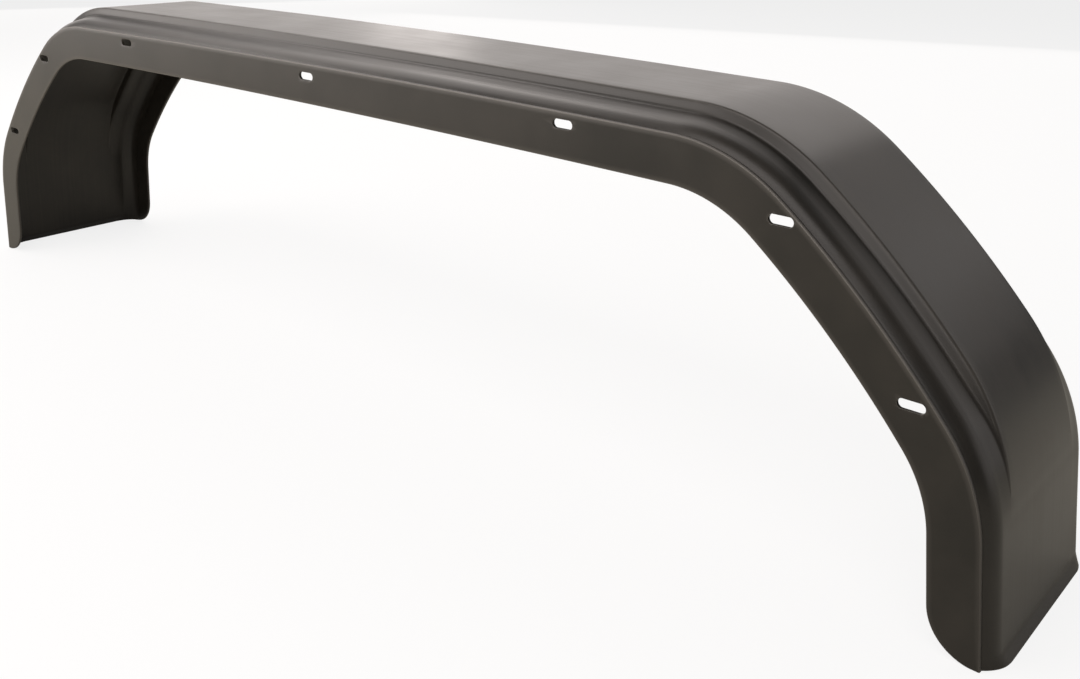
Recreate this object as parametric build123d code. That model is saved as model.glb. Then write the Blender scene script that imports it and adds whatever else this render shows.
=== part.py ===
from build123d import *
import os
from math import atan2, cos, degrees, radians, sin, tan

# Mudguard for a tandem axle trailer: one moulded shell with a slotted fixing flange.
# Millimetres and degrees. X runs along the trailer, the near flange faces -Y, Z is up from
# the ground line of the feet, and the origin is under the middle.

# Side view of the wheel opening, from the middle of the top down to the foot
MOUTH_HEIGHT = 312.0
TOP_RADIUS = 29100.0
TOP_TURN = 0.9
SHOULDER_RADIUS = 131.5
SHOULDER_TURN = 36.9
SLOPE_RADIUS = 838.5
SLOPE_TURN = 12.8
KNEE_RADIUS = 108.0
SKIRT_DRAFT = 5.2
FLANGE_CORNER_RADIUS = 40.0

# Cross section of the shell
WIDTH = 200.0
WALL = 3.0
FLANGE_DEPTH = 41.0
SHELL_RISE = 8.5
EDGE_RADIUS = 20.0

# Crown between the two steps, and the band that rises to the foot of each step. Both sink
# into the skirts. The setback is measured from the face of the flange
CROWN_SETBACK = 35.0
CROWN_STEP = 8.8
CROWN_EDGE_RADIUS = 3.0
CROWN_FADE_TURN = 2.0
CROWN_SINK = 0.3
BAND_RISE = 3.8
BAND_TILT = 14.0
BAND_WIDTH = 19.0

# Flared lip at the foot of each skirt
LIP_REACH = 5.1
LIP_HEIGHT = 9.0
LIP_SETBACK = 12.0
LIP_CORNER_RADIUS = 16.0

# Fixing slots of the near flange. The three top ones lie level. The others are placed by
# their turn round the slope from its upper and lower end, and their distance from its edge
SLOT_LENGTH = 22.0
SLOT_WIDTH = 8.0
TOP_SLOT_SPACING = 347.0
TOP_SLOT_RISE = 28.5
SHOULDER_SLOT = (0.6, 30.0)
LOWER_SLOT = (1.6, 26.2)

# Length by which a cutter runs past what it cuts
SPARE = 20.0

KNEE_TURN = 90.0 - SKIRT_DRAFT - TOP_TURN - SHOULDER_TURN - SLOPE_TURN
SHELL_HEIGHT = FLANGE_DEPTH + SHELL_RISE
BAND_HEIGHT = SHELL_HEIGHT + BAND_RISE
CROWN_HEIGHT = BAND_HEIGHT + CROWN_STEP
CROWN_WIDTH = WIDTH - 2 * CROWN_SETBACK


class Bend:
    """One arc of the side view. A turn is counted from straight up, towards the foot."""

    def __init__(self, x, z, radius, start, turn):
        self.start = start
        self.stop = start + turn
        self.radius = radius
        self.centre = (x - radius * sin(radians(start)), z - radius * cos(radians(start)))

    def at(self, turn, out=0.0):
        reach = self.radius + out
        x = self.centre[0] + reach * sin(radians(turn))
        return (x, self.centre[1] + reach * cos(radians(turn)))

    def arc(self, out=0.0):
        middle = (self.start + self.stop) / 2
        return ThreePointArc(self.at(self.start, out), self.at(middle, out), self.at(self.stop, out))


def bends(height, skirt_height, fade_turn=0.0):
    """The four arcs of the right half, at one height above the edge of the wheel opening.

    The knee radius is the one that leaves the skirt at skirt_height. With a fade turn, the
    knee starts that much earlier, on the slope.
    """
    knee_turn = KNEE_TURN + fade_turn
    reach = (KNEE_RADIUS + height) * (1 - cos(radians(KNEE_TURN)))
    reach += (SLOPE_RADIUS + height) * (cos(radians(KNEE_TURN)) - cos(radians(knee_turn)))
    knee_radius = (reach - height + skirt_height) / (1 - cos(radians(knee_turn)))
    chain = []
    x, z, start = 0.0, MOUTH_HEIGHT + height, 0.0
    for radius, turn in (
        (TOP_RADIUS + height, TOP_TURN),
        (SHOULDER_RADIUS + height, SHOULDER_TURN),
        (SLOPE_RADIUS + height, SLOPE_TURN - fade_turn),
        (knee_radius, knee_turn),
    ):
        bend = Bend(x, z, radius, start, turn)
        chain.append(bend)
        x, z = bend.at(bend.stop)
        start = bend.stop
    return chain


def skirt(bend, foot, out=0.0):
    """Top and bottom point of the straight skirt under the knee."""
    top = bend.at(bend.stop, out)
    return top, (top[0] + (top[1] - foot) * tan(radians(SKIRT_DRAFT)), foot)


def slab(edges, floor, y_start, y_stop):
    """Solid between an outline and a level floor, mirrored to both halves."""
    first = edges[0] @ 0
    last = edges[-1] @ 1
    close = [Line((last.X, floor), (0, floor)), Line((0, floor), (first.X, first.Y))]
    if last.Y > floor:
        close.append(Line((last.X, last.Y), (last.X, floor)))
    side_view = Plane(origin=(0, y_stop, 0), x_dir=(1, 0, 0), z_dir=(0, -1, 0))
    half = extrude(side_view * make_face(edges + close), y_stop - y_start)
    return half + mirror(half, Plane.YZ)


def section(inset, floor):
    """Cross section: width across, height from the shell's top, both its upper edges round."""
    half_width = WIDTH / 2 - inset
    area = Rectangle(2 * half_width, -inset - floor, align=(Align.CENTER, Align.MIN))
    area = Pos(0, floor) * area
    return fillet(area.vertices().group_by(Axis.Y)[-1], EDGE_RADIUS - inset)


def flange_section(floor):
    """Flats of both flanges. They end in a fine ledge where the round edge falls back."""
    flat = Rectangle(WIDTH, -SHELL_RISE - floor, align=(Align.CENTER, Align.MIN))
    return Pos(0, floor) * flat


def band_section(inset, floor):
    """Cross section of the crown's base, with the two bands falling to the round edges."""
    tilt = radians(BAND_TILT)
    foot = CROWN_WIDTH / 2 - inset * tan(tilt / 2)
    end = CROWN_WIDTH / 2 + BAND_WIDTH
    drop = inset + (end - foot) * tan(tilt)
    half = make_face(
        Polyline((0, floor), (end, floor), (end, -drop), (foot, -inset), (0, -inset), close=True)
    )
    return half + mirror(half, Plane.YZ)


def carried(shape, chain):
    """A cross section carried round the arcs and down the skirts."""
    half = Part()
    for bend in chain:
        x, z = bend.at(bend.start)
        along = Vector(cos(radians(bend.start)), 0, -sin(radians(bend.start)))
        place = Plane(origin=(x, 0, z), x_dir=(0, 1, 0), z_dir=along)
        centre = Axis((bend.centre[0], 0, bend.centre[1]), (0, 1, 0))
        half += revolve(place * shape, centre, bend.stop - bend.start)
    top, foot = skirt(chain[-1], -SPARE)
    run = Vector(foot[0] - top[0], 0, foot[1] - top[1])
    place = Plane(origin=(top[0], 0, top[1]), x_dir=(0, 1, 0), z_dir=run)
    half += extrude(place * shape, run.length)
    return half + mirror(half, Plane.YZ)


def body(inset, floor):
    """The shell without its crown. Only its outer face has the ledge of the flanges."""
    shape = section(inset, floor)
    if not inset:
        shape += flange_section(floor)
    shell = carried(shape, bends(SHELL_HEIGHT, SHELL_HEIGHT))
    chain = bends(BAND_HEIGHT, SHELL_HEIGHT - CROWN_SINK)
    return shell + carried(band_section(inset, floor), chain)


def crown(inset):
    """The raised crown between the two steps, down to where it has sunk into the skirts."""
    chain = bends(CROWN_HEIGHT, SHELL_HEIGHT - 2 * CROWN_SINK, CROWN_FADE_TURN)
    edges = [bend.arc(-inset) for bend in chain]
    edges.append(Line(*skirt(chain[-1], 0.0, -inset)))
    reach = CROWN_WIDTH / 2 - inset
    solid = slab(edges, 0.0, -reach, reach)
    if inset:
        return solid
    rims = solid.edges().filter_by(
        lambda e: abs(abs(e.center().Y) - reach) < 0.01 and e.center().Z > 1 and abs(e.center().X) > 1
    )
    return fillet(rims, CROWN_EDGE_RADIUS)


def mouth():
    """The wheel opening, with the round lower corners of the flanges."""
    chain = bends(0.0, 0.0)
    top, foot = skirt(chain[-1], 0.0)
    radius = min(FLANGE_CORNER_RADIUS, 0.9 * top[1])
    lean = radians(SKIRT_DRAFT)
    centre_x = foot[0] - radius * tan(lean) + radius / cos(lean)
    half_way = radians(45 + SKIRT_DRAFT / 2)
    start = (centre_x - radius * cos(lean), radius - radius * sin(lean))
    middle = (centre_x - radius * sin(half_way), radius - radius * cos(half_way))
    edges = [bend.arc() for bend in chain]
    edges += [Line(top, start), ThreePointArc(start, middle, (centre_x, 0))]
    edges.append(Line((centre_x, 0), (centre_x, -SPARE)))
    return slab(edges, -SPARE, -WIDTH, WIDTH)


def lips(inset):
    """Flares at the feet of both skirts, round at their corners in plan."""
    foot = skirt(bends(SHELL_HEIGHT, SHELL_HEIGHT)[-1], 0.0)[1][0]
    tip = foot + LIP_REACH - inset
    half_width = WIDTH / 2 - LIP_SETBACK - inset
    root = foot - FLANGE_DEPTH / 2
    plan = Rectangle(tip - root, 2 * half_width, align=(Align.MIN, Align.CENTER))
    plan = fillet(plan.vertices().group_by(Axis.X)[-1], LIP_CORNER_RADIUS - inset)
    rise = LIP_HEIGHT * tan(radians(SKIRT_DRAFT))
    lean = degrees(atan2(LIP_REACH + rise, LIP_HEIGHT))
    flare = extrude(Pos(root, 0, 0) * plan, LIP_HEIGHT, taper=lean)
    return flare + mirror(flare, Plane.YZ)


def slot_places():
    """Centres of the seven slots in the side view."""
    slope = bends(0.0, 0.0)[2]
    upper = slope.at(slope.start + SHOULDER_SLOT[0], SHOULDER_SLOT[1])
    lower = slope.at(slope.stop - LOWER_SLOT[0], LOWER_SLOT[1])
    level = MOUTH_HEIGHT + TOP_SLOT_RISE
    right = [(TOP_SLOT_SPACING, level), upper, lower]
    return [(0.0, level)] + right + [(-x, z) for x, z in right]


def slots():
    """Cutters for the slots, their long axis level."""
    shape = SlotOverall(SLOT_LENGTH, SLOT_WIDTH)
    cutters = Part()
    for x, z in slot_places():
        face = Plane(origin=(x, -WIDTH / 2 - WALL, z), x_dir=(1, 0, 0), z_dir=(0, -1, 0))
        cutters += extrude(face * shape, -3 * WALL)
    return cutters


def mudguard():
    depth = -SHELL_HEIGHT - SPARE
    outer = body(0.0, depth) + crown(0.0) + lips(0.0)
    inner = body(WALL, depth - SPARE) + crown(WALL) + lips(WALL)
    length = outer.bounding_box().size.X
    ground = Box(length, 2 * WIDTH, 2 * SPARE, align=(Align.CENTER, Align.CENTER, Align.MAX))
    return outer - inner - mouth() - ground - slots()


def build():
    part = mudguard().solid()
    part.label = "mudguard"
    part.color = Color(0.07, 0.07, 0.07)
    os.makedirs("parts", exist_ok=True)
    export_step(part, "parts/mudguard.step")
    return part


if __name__ == "__main__":
    made = build()
    print("size", made.bounding_box().size, "volume", made.volume)
    print("slots", [(round(x, 2), round(z, 2)) for x, z in slot_places()])
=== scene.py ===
import math

import bpy
import numpy as np
from mathutils import Matrix, Vector


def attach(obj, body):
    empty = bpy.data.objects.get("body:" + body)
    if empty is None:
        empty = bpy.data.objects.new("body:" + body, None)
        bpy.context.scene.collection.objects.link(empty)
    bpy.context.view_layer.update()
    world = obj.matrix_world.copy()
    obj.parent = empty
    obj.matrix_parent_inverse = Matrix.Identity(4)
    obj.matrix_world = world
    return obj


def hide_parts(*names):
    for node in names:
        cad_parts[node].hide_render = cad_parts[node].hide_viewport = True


# Trailer mudguard, one moulded shell. Lengths in the dictionaries are millimetres and
# angles are degrees. Every mesh is put down in metres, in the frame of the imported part.

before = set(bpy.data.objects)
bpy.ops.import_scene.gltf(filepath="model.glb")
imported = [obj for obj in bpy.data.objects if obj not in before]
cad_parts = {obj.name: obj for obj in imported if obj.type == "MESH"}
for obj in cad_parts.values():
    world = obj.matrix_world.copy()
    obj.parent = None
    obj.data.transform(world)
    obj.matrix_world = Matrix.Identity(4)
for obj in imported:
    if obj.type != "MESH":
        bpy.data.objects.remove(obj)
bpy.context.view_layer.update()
print("frame loaded:", sorted(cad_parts))

mm = 0.001


def setMesh(name, points, faces):
    # points: n by 3 array in millimetres, faces: list of index lists
    mesh = bpy.data.meshes.new(name)
    mesh.from_pydata((points * mm).tolist(), [], faces)
    mesh.polygons.foreach_set("use_smooth", np.full(len(mesh.polygons), True))
    mesh.update()
    piece = bpy.data.objects.new(name, mesh)
    bpy.context.scene.collection.objects.link(piece)
    return piece


# The guard

guard = {
    "mouthHeight": 312.0,
    "arcs": (                  # radius, turn and number of steps of each arc
        (29100.0, 0.9, 34),
        (131.5, 36.9, 34),
        (838.5, 12.8, 30),
        (108.0, 34.2, 30),
    ),
    "draft": 5.2,              # lean of the skirts
    "skirtSteps": 36,
    "skirtBunch": 1.7,         # power that bunches the stations of the skirt near the foot
    "levelBelow": 16.0,        # height below which the stations of the skirt lie level
    "cornerRadius": 40.0,      # lower corners of the flanges
    "halfWidth": 100.0,
    "wall": 3.0,
    "flangeDepth": 41.0,       # the ledge lies at this height above the edge of the opening
    "edgeRadius": 20.0,
    "shellHeight": 49.5,       # top of the shell between its round edges
    "bandRise": 3.8,           # the band rises this much from the round edge to the step
    "bandWidth": 19.0,
    "bandBow": 1.3,            # power of the band's fall: 1 is straight
    "bandBlend": 0.3,          # where the band dies into the skirt
    "bandShift": 0.12,         # the inner face's band starts this share of the wall further in
    "crownHalf": 65.0,
    "crownStep": 8.8,
    "crownTop": (3.6, 0.9),    # radius at the top of the step, outer and inner face
    "crownFoot": (3.2, 5.0),   # radius at its foot, outer and inner face
    "riserTurn": 66.0,         # steepness of the step
    "fadeTurn": 2.0,           # the crown starts to sink this much above the knee
    "crownSink": 0.3,          # depth of the sunken crown in the skirt
    "lipReach": 5.0,
    "lipHeight": 9.0,
    "lipBlend": 0.3,           # hollow between lip and skirt, as a share of the lip's height
    "lipFade": (98.0, 72.0),   # distances from the middle between which the lip dies out
    "ledgeRound": 1.2,         # rounding of the ledge along the flange
    "ledgeGap": 0.12,          # flat between that rounding and the round edge
    # depths under its round edge at which the inner face has columns in place of the ledge
    "closeColumns": (0.42, 0.06),
    "rim": 1.35,               # rounding along the free edges
    "footRound": 0.6,          # rounding of the wall where it stands on the floor
    "sharpFrom": 38.0,         # faces that meet at more than this are shaded as an edge
}


def arcChain(height, skirtHeight, fadeTurn=0.0):
    # Centres and radii of the four arcs at one height above the edge of the opening. Each arc
    # starts where the last one stops, and the knee radius is what lands on the skirt.
    radii = [a[0] for a in guard["arcs"]]
    turns = [a[1] for a in guard["arcs"]]
    kneeTurn = turns[3] + fadeTurn
    cosKnee, cosAll = math.cos(math.radians(turns[3])), math.cos(math.radians(kneeTurn))
    reach = (radii[3] + height) * (1 - cosKnee) + (radii[2] + height) * (cosKnee - cosAll)
    kneeRadius = (reach - height + skirtHeight) / (1 - cosAll)
    chain = []
    point = np.array([0.0, guard["mouthHeight"] + height])
    start = 0.0
    steps = zip(
        (radii[0] + height, radii[1] + height, radii[2] + height, kneeRadius),
        (turns[0], turns[1], turns[2] - fadeTurn, kneeTurn),
    )
    for radius, turn in steps:
        a = math.radians(start)
        centre = point - radius * np.array([math.sin(a), math.cos(a)])
        start += turn
        a = math.radians(start)
        point = centre + radius * np.array([math.sin(a), math.cos(a)])
        chain.append((centre, radius, start))
    return chain, point


def rayToArc(base, ray, centre, radius, far=True):
    # Distance along each ray at which it crosses a circle: the far or the near crossing
    to = centre - base
    along = (to * ray).sum(1)
    root = np.sqrt(np.maximum(along ** 2 - (to ** 2).sum(1) + radius ** 2, 0.0))
    return along + root if far else along - root


def rayToLine(base, ray, point, lean):
    # Distance along each ray at which it crosses the straight skirt through point
    normal = np.array([math.cos(lean), math.sin(lean)])
    return ((point - base) @ normal) / (ray @ normal)


def stations():
    # Right half of the side view as rays across the shell. On the arcs a ray starts on the edge
    # of the opening and points away from the arc's centre; down the skirt the rays turn level.
    chain, kneeEnd = arcChain(0.0, 0.0)
    lean = math.radians(guard["draft"])
    bases, rays, start = [], [], 0.0
    for (centre, radius, stop), (_, _, steps) in zip(chain, guard["arcs"]):
        turn = np.radians(np.linspace(start, stop, steps + 1)[:-1])
        way = np.stack((np.sin(turn), np.cos(turn)), 1)
        bases.append(centre + radius * way)
        rays.append(way)
        start = stop
    down = np.linspace(0.0, 1.0, guard["skirtSteps"] + 1)
    level = kneeEnd[1] * (1 - down) ** guard["skirtBunch"]
    base = np.stack((kneeEnd[0] + (kneeEnd[1] - level) * math.tan(lean), level), 1)
    turned = np.clip((kneeEnd[1] - level) / (kneeEnd[1] - guard["levelBelow"]), 0, 1)
    turned = (turned * turned * (3 - 2 * turned))[:, None]
    normal = np.array([math.cos(lean), math.sin(lean)])
    drop = np.array([math.sin(lean), -math.cos(lean)])
    bases.append(base)
    rays.append(normal + turned * math.tan(lean) * drop)
    return np.concatenate(bases), np.concatenate(rays)


def heightsAlong(base, ray, height, skirtHeight, fadeTurn=0.0):
    # Height of one outline of the side view on every ray
    chain, kneeEnd = arcChain(height, skirtHeight, fadeTurn)
    unit = ray / np.linalg.norm(ray, axis=1)[:, None]
    stretch = np.linalg.norm(ray, axis=1)
    found = rayToLine(base, unit, kneeEnd, math.radians(guard["draft"]))
    onSkirt = (base + found[:, None] * unit)[:, 1] < kneeEnd[1]
    for centre, radius, stop in reversed(chain):
        crossing = rayToArc(base, unit, centre, radius)
        point = base + crossing[:, None] * unit
        side = np.degrees(np.arctan2(point[:, 0] - centre[0], point[:, 1] - centre[1]))
        within = (side <= stop + 1e-9) & ~onSkirt
        found = np.where(within, crossing, found)
    return found / stretch


def flangeEdge(base, ray):
    # Where the flange starts on each ray: the opening's edge, or the round lower corner
    lean = math.radians(guard["draft"])
    radius = guard["cornerRadius"]
    foot = base[-1, 0]
    centre = np.array([foot - radius * math.tan(lean) + radius / math.cos(lean), radius])
    stretch = np.linalg.norm(ray, axis=1)
    unit = ray / stretch[:, None]
    crossing = rayToArc(base, unit, centre, radius, far=False) / stretch
    below = base[:, 1] < radius * (1 - math.sin(lean))
    return np.where(below, np.maximum(crossing, 0.0), 0.0)


def between(first, last, count):
    # count columns strictly between two columns
    share = np.linspace(0, 1, count + 2)[1:-1]
    return first[:, None] + (last - first)[:, None] * share[None]


def softMax(a, b, width):
    # The larger of two heights, with a fillet of about this width where they meet
    gap = np.clip(0.5 + 0.5 * (a - b) / width, 0, 1)
    return b + (a - b) * gap + 0.5 * width * gap * (1 - gap)


def halfSection(band, crown, edge, inset):
    # Across the shell on every ray, from the free edge of the flange to the middle of the crown:
    # round free edge, flat of the flange, ledge, large round edge, rising band, the step as a
    # hollow foot, a slanted face and a round top that turn less as it gets lower, and crown.
    one = np.ones(len(band))
    rim = guard["rim"]
    radius = guard["edgeRadius"] - inset
    centreY = guard["halfWidth"] - guard["edgeRadius"]
    centreHeight = (guard["shellHeight"] - guard["edgeRadius"]) * one
    isOuter = inset == 0
    if isOuter:
        arcStart = guard["flangeDepth"] * one
    else:
        arcStart = np.maximum(centreHeight, edge + rim + 1.0)
    lowest = np.arcsin(np.clip((arcStart - centreHeight) / radius, 0.0, 0.9))
    arcY = centreY + radius * np.cos(lowest)
    face = guard["halfWidth"] * one if isOuter else arcY
    out = 1.0 if isOuter else -1.0
    across, height = [], []

    def add(y, h):
        across.append(y)
        height.append(h + 0 * y)

    turn = np.radians(np.linspace(90, 0, 5))[None]
    rimY = (face - out * rim)[:, None] + out * rim * np.cos(turn)
    add(rimY, (edge + rim)[:, None] - rim * np.sin(turn))
    ledge = guard["ledgeRound"]
    firstClose, lastClose = guard["closeColumns"]
    flat = between(edge + rim, arcStart - (ledge if isOuter else firstClose + 0.03), 9)
    add(face[:, None] + 0 * flat, flat)
    if isOuter:
        turn = np.radians(np.linspace(0, 90, 6))[None]
        ledgeY = face[:, None] - ledge * (1 - np.cos(turn))
        add(ledgeY, arcStart[:, None] - ledge * (1 - np.sin(turn)))
        add(arcY[:, None] + guard["ledgeGap"], arcStart[:, None])
    else:
        close = np.linspace(firstClose, lastClose, 7)[None]
        add(face[:, None] + 0 * close, arcStart[:, None] - close)
    # the band falls outwards from the step, less and less steeply, and ends on the round edge
    shellTop = guard["shellHeight"] - inset
    bandRise = softMax(band - inset - shellTop, 0.0, guard["bandBlend"])[:, None]
    bandFoot = guard["crownHalf"] - guard["bandShift"] * inset

    def onBand(y, h):
        share = np.clip((bandFoot + guard["bandWidth"] - y) / guard["bandWidth"], 0, 1)
        return h + bandRise * share ** guard["bandBow"]

    turn = lowest[:, None] + (math.pi / 2 - lowest)[:, None] * np.linspace(0, 1, 17)[None]
    ys = centreY + radius * np.cos(turn)
    add(ys, onBand(ys, centreHeight[:, None] + radius * np.sin(turn)))
    # the step's face crosses crownHalf on the outer face, and one wall further in on the inner
    stepY = guard["crownHalf"] - inset
    top, foot = (guard[name][0 if isOuter else 1] for name in ("crownTop", "crownFoot"))
    steepest = math.radians(guard["riserTurn"])

    def stepTurn(rise):
        # how far both arcs of the step turn, and the height of the slanted face between them
        turn = np.minimum(np.arccos(1 - np.minimum(rise, foot + top) / (foot + top)), steepest)
        return turn, np.maximum(rise - (foot + top) * (1 - np.cos(turn)), 0.0)

    rise = np.maximum(crown[:, None] - inset - onBand(np.full((len(one), 1), stepY), shellTop), 0.0)
    run = 0.5 * stepTurn(rise)[1] / math.tan(steepest)
    stepFoot = onBand(stepY + run, shellTop)
    rise = np.maximum(crown[:, None] - inset - stepFoot, 0.0)
    arc, slant = stepTurn(rise)
    share = np.linspace(0, 1, 12)[None, 1:-1]
    gap = 0.02     # keeps the band's last column off the step
    ys = centreY + (stepY + run + foot * np.sin(arc) + gap - centreY) * share
    add(ys, onBand(ys, shellTop))
    share = np.linspace(0, 1, 7)[None]
    ys = stepY + run + foot * (np.sin(arc) - np.sin(arc * share))
    add(ys, onBand(ys, shellTop) + foot * (1 - np.cos(arc * share)))
    base = stepFoot + foot * (1 - np.cos(arc))
    up = np.array([[0.35, 0.7]])     # two columns up the slanted face
    add(stepY + run * (1 - 2 * up), base + slant * up)
    bow = arc * (1 - share)
    topY = stepY - run - top * (np.sin(arc) - np.sin(bow))
    add(topY, base + slant + top * (np.cos(bow) - np.cos(arc)))
    add((stepY - run - top * np.sin(arc)) * np.linspace(1, 0, 10)[None, 1:], stepFoot + rise)
    return np.concatenate(across, 1), np.concatenate(height, 1)


def lipReach(across, level):
    # How far the flared lip stands out of the skirt: less with height, down to a hollow where
    # it meets the skirt, and less towards both corners
    outEnd, inEnd = guard["lipFade"]
    fade = np.clip((outEnd - np.abs(across)) / (outEnd - inEnd), 0, 1)
    flare = softMax(1 - level / guard["lipHeight"], 0.0, guard["lipBlend"])
    return guard["lipReach"] * flare * fade ** 2 * (3 - 2 * fade)


def shellPoints(inset):
    base, ray = stations()
    skirtHeight = guard["shellHeight"]
    bandHeight = skirtHeight + guard["bandRise"]
    sink = guard["crownSink"]
    band = heightsAlong(base, ray, bandHeight, skirtHeight - sink)
    crownHeight = bandHeight + guard["crownStep"]
    crown = heightsAlong(base, ray, crownHeight, skirtHeight - 2 * sink, guard["fadeTurn"])
    across, height = halfSection(band, crown, flangeEdge(base, ray), inset)
    level = base[:, 1][:, None] + 0 * height
    height = height + lipReach(across + inset, level)
    x = base[:, 0][:, None] + height * ray[:, 0][:, None]
    z = base[:, 1][:, None] + height * ray[:, 1][:, None]
    # near flange at -y: the half section runs from the near edge to the middle, and back out
    halfGrid = np.stack((x, -across, z), 2)
    farGrid = halfGrid[:, -2::-1] * np.array([1, -1, 1])
    right = np.concatenate((halfGrid, farGrid), 1)
    left = right[:0:-1] * np.array([-1, 1, 1])
    return np.concatenate((left, right), 0)


sheet = {
    "sag": 0.35,                     # reach of the waves
    "wave": (71.0, 43.0, 390.0),     # stretch along the guard and across it, and drift
    "ripple": (39.0, 57.0, 61.0),    # stretch of the smaller wave along, across and upwards
    "rippleShare": 0.6,
    "feet": (12.0, 42.0),            # heights between which the waves grow to their full reach
    "flanges": (96.0, 88.0),         # distances from the middle, in the same way
}


def slack(points):
    # How far the cooled sheet lies inside its true shape: the sine along the guard times the
    # cosine across it, plus a share of a smaller sine, brought to between 0 and 1. The waves
    # die out at the flanges and at the feet.
    x, y, z = points[..., 0], points[..., 1], points[..., 2]
    along, wide, drift = sheet["wave"]
    wave = np.sin(x / along + 0.8) * np.cos(y / wide + x / drift)
    along, wide, tall = sheet["ripple"]
    wave += sheet["rippleShare"] * np.sin(x / along + y / wide + z / tall + 2.0)
    low, high = sheet["feet"]
    where = np.clip((z - low) / (high - low), 0, 1)
    last, first = sheet["flanges"]
    where = where * np.clip((last - np.abs(y)) / (last - first), 0, 1)
    return sheet["sag"] * (0.5 + wave / (2 * (1 + sheet["rippleShare"]))) * where


def makeGuard():
    outer, inner = shellPoints(0.0), shellPoints(guard["wall"])
    inward = inner - outer
    inward /= np.linalg.norm(inward, axis=2)[..., None]
    # quarter circle between both faces and the foot
    edge = guard["footRound"]
    level = np.minimum(np.abs(outer[..., 2]), edge)
    draw = (edge - np.sqrt(edge ** 2 - (edge - level) ** 2))[..., None]
    shift = slack(outer)[..., None]
    outer = outer + inward * (shift + draw)
    inner = inner + inward * (shift - draw)
    rows, columns = outer.shape[:2]
    ring = np.concatenate((outer, inner[:, ::-1]), 1)
    around = ring.shape[1]
    points = ring.reshape(-1, 3)
    i = np.arange(rows - 1)[:, None] * around
    j = np.arange(around)[None]
    k = (j + 1) % around
    quads = np.stack((i + j, i + around + j, i + around + k, i + k), 2).reshape(-1, 4)
    # foot faces: strips between the outer and the inner face at both ends
    o = np.arange(columns - 1)
    n = around - 1 - o
    first = np.stack((o, o + 1, n - 1, n), 1)
    last = np.stack((o, n, n - 1, o + 1), 1) + (rows - 1) * around
    faces = np.concatenate((quads, first, last)).tolist()
    return setMesh("guard_shell", points, faces)


slots = {
    "length": 22.0,
    "width": 8.0,
    "places": ((0.0, 340.5), (347.0, 340.5), (561.16, 298.92), (674.29, 185.58)),
    "flare": 0.25,          # rounding of the slot's edges
    "spare": (1.0, 2.0),    # the cutter runs this far past the outer and the inner face
    "steps": 40,
}


def cutSlots(shell):
    # Each cutter is the slot's outline carried through the flange, wider by a quarter circle
    # at both faces, so the hole gets round edges.
    outer = guard["halfWidth"]
    inner = guard["halfWidth"] - guard["wall"]
    r = slots["flare"]
    bow = np.radians(np.linspace(0, 90, 6))
    near = outer - r + r * np.cos(bow)
    far = inner + r - r * np.cos(bow[::-1])
    depth = np.concatenate(([outer + slots["spare"][0]], near, far, [inner - slots["spare"][1]]))
    grow = np.concatenate(([r], r - r * np.sin(bow), r - r * np.sin(bow[::-1]), [r]))
    t = np.linspace(0, 2 * math.pi, slots["steps"], endpoint=False) + math.pi / slots["steps"]
    straight = (slots["length"] - slots["width"]) / 2
    radius = slots["width"] / 2 + grow[:, None]
    spots = [slots["places"][0]]
    for x, z in slots["places"][1:]:
        spots += [(x, z), (-x, z)]
    points, faces = [], []
    for number, (x, z) in enumerate(spots):
        px = x + straight * np.sign(np.cos(t))[None] + radius * np.cos(t)[None]
        pz = z + radius * np.sin(t)[None]
        points.append(np.stack((px, -depth[:, None] + 0 * px, pz), 2).reshape(-1, 3))
        rows, around = px.shape
        start = number * rows * around
        i = np.arange(rows - 1)[:, None] * around
        j = np.arange(around)[None]
        k = (j + 1) % around
        sides = np.stack((i + j, i + around + j, i + around + k, i + k), 2).reshape(-1, 4) + start
        faces += sides.tolist()
        faces.append((start + np.arange(around)).tolist())
        faces.append((start + (rows - 1) * around + np.arange(around)[::-1]).tolist())
    cutter = setMesh("slot_cutter", np.concatenate(points), faces)
    cut = shell.modifiers.new("slots", "BOOLEAN")
    cut.operation = "DIFFERENCE"
    cut.solver = "EXACT"
    cut.object = cutter
    bpy.context.view_layer.update()
    depsgraph = bpy.context.evaluated_depsgraph_get()
    done = bpy.data.meshes.new_from_object(shell.evaluated_get(depsgraph))
    shell.modifiers.clear()
    shell.data = done
    bpy.data.objects.remove(cutter)
    done.polygons.foreach_set("use_smooth", np.full(len(done.polygons), True))
    done.set_sharp_from_angle(angle=math.radians(guard["sharpFrom"]))


edgeWearAndHighlight = {
    "bend": (0.12, 0.82),     # bend, per millimetre, at which the pale edge (wear and painted highlight) starts and is full
    "level": (60.0, 220.0),   # heights between which it grows to its full strength: painted highlight, paler edges higher up
    "least": 0.4,             # strength on the skirts, where the painted highlight is weakest
    "closest": 0.04,          # squared distances between vertices count as at least this
}


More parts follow.
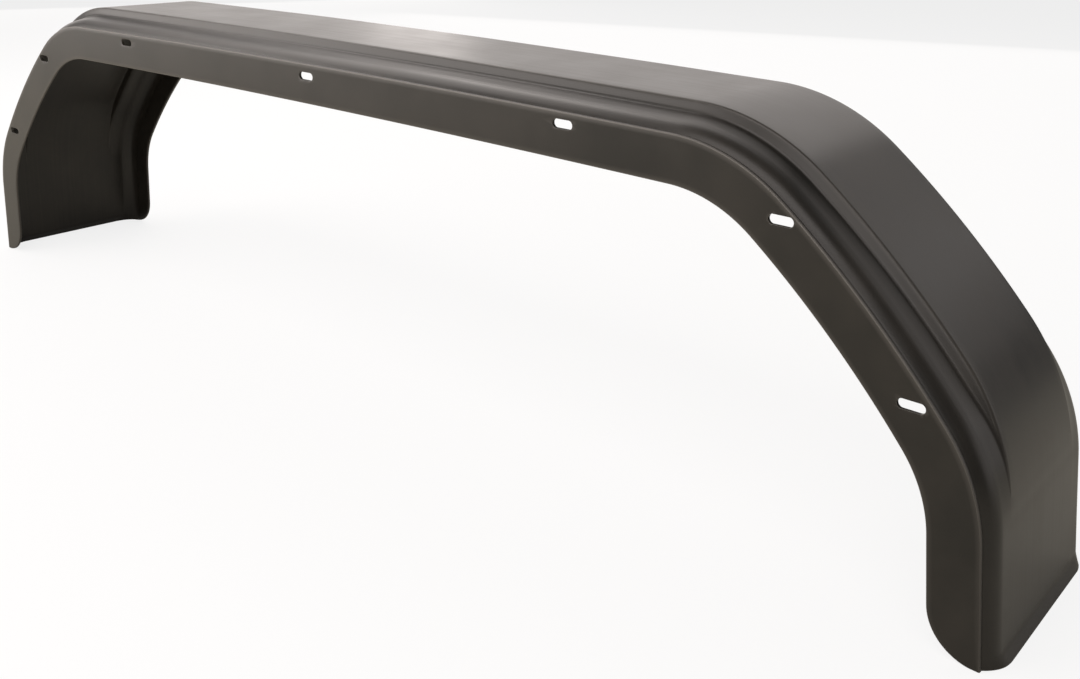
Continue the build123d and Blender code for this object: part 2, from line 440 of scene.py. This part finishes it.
def markEdges(shell):
    # Attribute for the pale edges, partly rubbed wear and partly painted highlight: how sharply the
    # surface bends outwards at each vertex, as twice the drop below the vertex's tangent plane over
    # the squared distance to its neighbours
    mesh = shell.data
    count = len(mesh.vertices)
    place = np.empty(count * 3)
    mesh.vertices.foreach_get("co", place)
    place = place.reshape(-1, 3) / mm
    normal = np.empty(count * 3)
    mesh.vertex_normals.foreach_get("vector", normal)
    normal = normal.reshape(-1, 3)
    pair = np.empty(len(mesh.edges) * 2, dtype=np.int64)
    mesh.edges.foreach_get("vertices", pair)
    pair = pair.reshape(-1, 2)
    bend = np.zeros(count)
    for a, b in ((0, 1), (1, 0)):
        way = place[pair[:, b]] - place[pair[:, a]]
        apart = np.maximum((way ** 2).sum(1), edgeWearAndHighlight["closest"])
        fall = -2 * (way * normal[pair[:, a]]).sum(1) / apart
        np.maximum.at(bend, pair[:, a], fall)
    start, full = edgeWearAndHighlight["bend"]
    wornAndLit = np.clip((bend - start) / (full - start), 0, 1)
    low, high = edgeWearAndHighlight["level"]
    # painted highlight: the edges get paler the higher they stand
    wornAndLit *= edgeWearAndHighlight["least"] + (1 - edgeWearAndHighlight["least"]) * np.clip((place[:, 2] - low) / (high - low), 0, 1)
    attribute = mesh.attributes.new("worn_edge_and_highlight", "FLOAT", "POINT")
    attribute.data.foreach_set("value", wornAndLit.astype(np.float32))


shell = makeGuard()
print("shell:", len(shell.data.polygons), "faces")
cutSlots(shell)
markEdges(shell)
print("slots cut:", len(shell.data.polygons), "faces")


# Materials

def linear(hexColour):
    # sRGB hex to linear red, green, blue, alpha
    parts = [int(hexColour[i:i + 2], 16) / 255 for i in (1, 3, 5)]
    parts = [c / 12.92 if c <= 0.04045 else ((c + 0.055) / 1.055) ** 2.4 for c in parts]
    return tuple(parts) + (1.0,)


def addNode(tree, kind, inputs=None, **settings):
    # One node: settings are its properties, inputs its values or the sockets that feed it
    node = tree.nodes.new(kind)
    for name, value in settings.items():
        setattr(node, name, value)
    for key, value in (inputs or {}).items():
        if isinstance(value, bpy.types.NodeSocket):
            tree.links.new(value, node.inputs[key])
        else:
            node.inputs[key].default_value = value
    return node


def addNoise(tree, place, scale, detail, roughness):
    return addNode(tree, "ShaderNodeTexNoise", {
        "Vector": place, "Scale": scale, "Detail": detail, "Roughness": roughness}).outputs[0]


def addRange(tree, value, start, stop, low, high):
    # The value, brought from between start and stop to between low and high
    return addNode(tree, "ShaderNodeMapRange", {
        0: value, 1: start, 2: stop, 3: low, 4: high}).outputs[0]


def blend(tree, share, first, second):
    return addNode(tree, "ShaderNodeMix", {0: share, 6: first, 7: second},
                   data_type="RGBA").outputs[2]


def calculate(tree, operation, *values, clamp=False):
    return addNode(tree, "ShaderNodeMath", dict(enumerate(values)),
                   operation=operation, use_clamp=clamp).outputs[0]


plastic = {
    "colour": "#161411",           # black with a warm cast
    "pale": "#2b2722",             # where the skin is rubbed or dusty
    "edge": "#54514d",             # along the sharp edges: rubbed wear and painted highlight
    "roughness": 0.35,
    "roughnessSpread": 0.1,
    "ior": 1.45,
    "cloud": 60.0,                 # width of the slow patches
    "cloudNoise": (3.0, 0.55),     # detail and roughness of the noise
    "cloudRange": (0.35, 0.65),    # noise at which a patch starts and is full
    "cloudShare": 0.35,
    "streak": (260.0, 3.2),        # length and width of the draw marks along the guard
    "streakNoise": (4.0, 0.6),
    "streakRange": (0.4, 0.7),
    "streakShare": 0.3,
    "grain": 1.6,                  # width of the fine grain
    "grainNoise": (2.0, 0.6),
    "grainDepth": 0.018,
}


def blackPolyethylene():
    material = bpy.data.materials.new("moulded_black_polyethylene")
    material.use_nodes = True
    tree = material.node_tree
    tree.nodes.clear()
    coord = addNode(tree, "ShaderNodeTexCoord").outputs["Object"]
    # slow patches: the skin of the sheet is not equally bright or smooth everywhere
    cloud = addNoise(tree, coord, 1000 / plastic["cloud"], *plastic["cloudNoise"])
    patch = addRange(tree, cloud, *plastic["cloudRange"], 0.0, 1.0)
    # faint draw marks where the hot sheet slid along the mould
    long, short = (1000 / size for size in plastic["streak"])
    stretched = addNode(tree, "ShaderNodeVectorMath", {0: coord, 1: (long, short, long)},
                        operation="MULTIPLY")
    streak = addNoise(tree, stretched.outputs[0], 1.0, *plastic["streakNoise"])
    mark = addRange(tree, streak, *plastic["streakRange"], 0.0, plastic["streakShare"])
    skin = calculate(tree, "MULTIPLY_ADD", patch, plastic["cloudShare"], mark)
    # paler sharp edges: partly wear, partly a painted highlight
    wornAndLit = addNode(tree, "ShaderNodeAttribute", attribute_name="worn_edge_and_highlight").outputs["Fac"]
    face = blend(tree, skin, linear(plastic["colour"]), linear(plastic["pale"]))
    colour = blend(tree, wornAndLit, face, linear(plastic["edge"]))
    # pale spots and the worn edges with their painted highlight are rougher too
    low = plastic["roughness"] - plastic["roughnessSpread"] / 2
    high = low + plastic["roughnessSpread"]
    rough = addRange(tree, calculate(tree, "ADD", skin, wornAndLit, clamp=True), 0.0, 1.0, low, high)
    grain = addNoise(tree, coord, 1000 / plastic["grain"], *plastic["grainNoise"])
    bump = addNode(tree, "ShaderNodeBump", {
        "Height": grain,
        "Distance": plastic["grainDepth"] * mm,
        "Strength": 1.0,
    })
    shader = addNode(tree, "ShaderNodeBsdfPrincipled", {
        "Base Color": colour,
        "Roughness": rough,
        "IOR": plastic["ior"],
        "Normal": bump.outputs[0],
    })
    addNode(tree, "ShaderNodeOutputMaterial", {"Surface": shader.outputs[0]})
    return material


shell.data.materials.clear()
shell.data.materials.append(blackPolyethylene())
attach(shell, "root")
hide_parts("mudguard")


# Floor, light and camera

studio = {
    "floorColour": "#bab7aa",     # for the light that the floor throws on the guard
    "floorGlow": 0.82,            # what the camera sees of the floor: glow and shaded part
    "floorPart": 0.14,
    "floorMirrored": 0.12,        # share of that in the guard's reflections
    "floorSize": 12.0,            # metres
    "worldStrength": 0.15,
    "lampColour": (1.0, 0.93, 0.89),
    "panels": (                   # place, point it faces, width, height (metres), radiance
        ("panel_front_left", (-1.9, -1.8, 1.1), (0.2, 0.0, 0.3), 2.8, 2.0, 3.8),
        ("panel_left", (-1.9, 0.4, 2.2), (0.2, 0.0, 0.3), 2.2, 1.6, 2.4),
        ("panel_back", (-1.0, 2.6, 1.25), (0.0, 0.0, 0.3), 3.4, 2.5, 1.1),
        ("panel_back_left", (-3.6, 1.6, 0.8), (0.0, 0.0, 0.3), 3.0, 1.6, 1.3),
        ("panel_back_right", (2.1, 2.2, 1.9), (0.6, 0.0, 0.2), 2.6, 1.8, 1.0),
        ("panel_right", (3.3, 1.5, 0.75), (0.6, 0.0, 0.2), 2.6, 1.4, 0.8),
        ("panel_top_back", (-0.6, 1.7, 2.4), (0.2, 0.0, 0.3), 3.2, 1.3, 1.2),
        ("panel_front", (1.0, -2.4, 1.3), (0.6, 0.0, 0.3), 2.4, 1.3, 2.6),
        ("panel_top", (0.7, -1.35, 2.5), (0.6, 0.0, 0.3), 3.2, 1.4, 2.6),
    ),
}


def makeFloor():
    half = studio["floorSize"] / 2
    corners = [(-half, -half, 0), (half, -half, 0), (half, half, 0), (-half, half, 0)]
    mesh = bpy.data.meshes.new("floor")
    mesh.from_pydata(corners, [], [(0, 1, 2, 3)])
    floor = bpy.data.objects.new("floor", mesh)
    bpy.context.scene.collection.objects.link(floor)
    material = bpy.data.materials.new("pale_floor")
    material.use_nodes = True
    tree = material.node_tree
    tree.nodes.clear()
    # nearly white to the camera, darker in the guard's reflections and for the light it throws
    path = addNode(tree, "ShaderNodeLightPath").outputs
    mirrored = calculate(tree, "MULTIPLY_ADD", path["Is Glossy Ray"], studio["floorMirrored"],
                         path["Is Transmission Ray"])
    seen = calculate(tree, "ADD", path["Is Camera Ray"], mirrored, clamp=True)
    part = studio["floorPart"]
    plain = addNode(tree, "ShaderNodeBsdfDiffuse", {"Color": linear(studio["floorColour"])})
    glow = addNode(tree, "ShaderNodeEmission", {
        "Color": (1, 1, 1, 1), "Strength": studio["floorGlow"]})
    shaded = addNode(tree, "ShaderNodeBsdfDiffuse", {"Color": (part, part, part, 1)})
    both = addNode(tree, "ShaderNodeAddShader", {0: glow.outputs[0], 1: shaded.outputs[0]})
    mix = addNode(tree, "ShaderNodeMixShader", {
        0: seen, 1: plain.outputs[0], 2: both.outputs[0]})
    addNode(tree, "ShaderNodeOutputMaterial", {"Surface": mix.outputs[0]})
    mesh.materials.append(material)


def makePanels():
    # Soft panels all round, the brightest in front of the guard's left end. The power of a flat
    # lamp is pi times its radiance times its area.
    for name, place, target, width, height, radiance in studio["panels"]:
        lamp = bpy.data.lights.new(name, "AREA")
        lamp.shape = "RECTANGLE"
        lamp.size, lamp.size_y = width, height
        lamp.energy = math.pi * radiance * width * height
        lamp.color = studio["lampColour"]
        panel = bpy.data.objects.new(name, lamp)
        bpy.context.scene.collection.objects.link(panel)
        panel.location = place
        panel.rotation_euler = (Vector(target) - Vector(place)).to_track_quat("-Z", "Y").to_euler()


def makeWorld():
    world = bpy.data.worlds.new("studio")
    bpy.context.scene.world = world
    world.use_nodes = True
    tree = world.node_tree
    tree.nodes.clear()
    # white behind the guard for the camera, and a weak light for everything else
    seen = addNode(tree, "ShaderNodeLightPath").outputs["Is Camera Ray"]
    light, white = (
        addNode(tree, "ShaderNodeBackground", {"Color": (1, 1, 1, 1), "Strength": strength})
        for strength in (studio["worldStrength"], 1.0)
    )
    mix = addNode(tree, "ShaderNodeMixShader", {
        0: seen, 1: light.outputs[0], 2: white.outputs[0]})
    addNode(tree, "ShaderNodeOutputWorld", {"Surface": mix.outputs[0]})


view = {
    "place": (0.96939, -0.79856, 0.53505),   # metres
    "azimuth": 37.64,
    "elevation": 15.49,
    "roll": 1.16,
    "sensor": 36.0,
    "lens": 38.04,
    "shift": (-0.0926, -0.1292),
}


def makeCamera():
    # Sits back from what it looks at by azimuth and elevation, and is rolled about its axis
    camera = bpy.data.objects.new("camera", bpy.data.cameras.new("camera"))
    bpy.context.scene.collection.objects.link(camera)
    az, el, roll = (math.radians(view[name]) for name in ("azimuth", "elevation", "roll"))
    back = Vector((math.sin(az) * math.cos(el), -math.cos(az) * math.cos(el), math.sin(el)))
    right = (-back).cross(Vector((0, 0, 1))).normalized()
    up = right.cross(-back)
    rightRolled = right * math.cos(roll) + up * math.sin(roll)
    upRolled = -right * math.sin(roll) + up * math.cos(roll)
    turn = Matrix((rightRolled, upRolled, back)).transposed()
    camera.matrix_world = Matrix.Translation(view["place"]) @ turn.to_4x4()
    camera.data.sensor_fit = "HORIZONTAL"
    camera.data.sensor_width = view["sensor"]
    camera.data.lens = view["lens"]
    camera.data.shift_x, camera.data.shift_y = view["shift"]
    bpy.context.scene.camera = camera


makeFloor()
makePanels()
makeWorld()
makeCamera()
bpy.context.scene.view_settings.view_transform = "Standard"
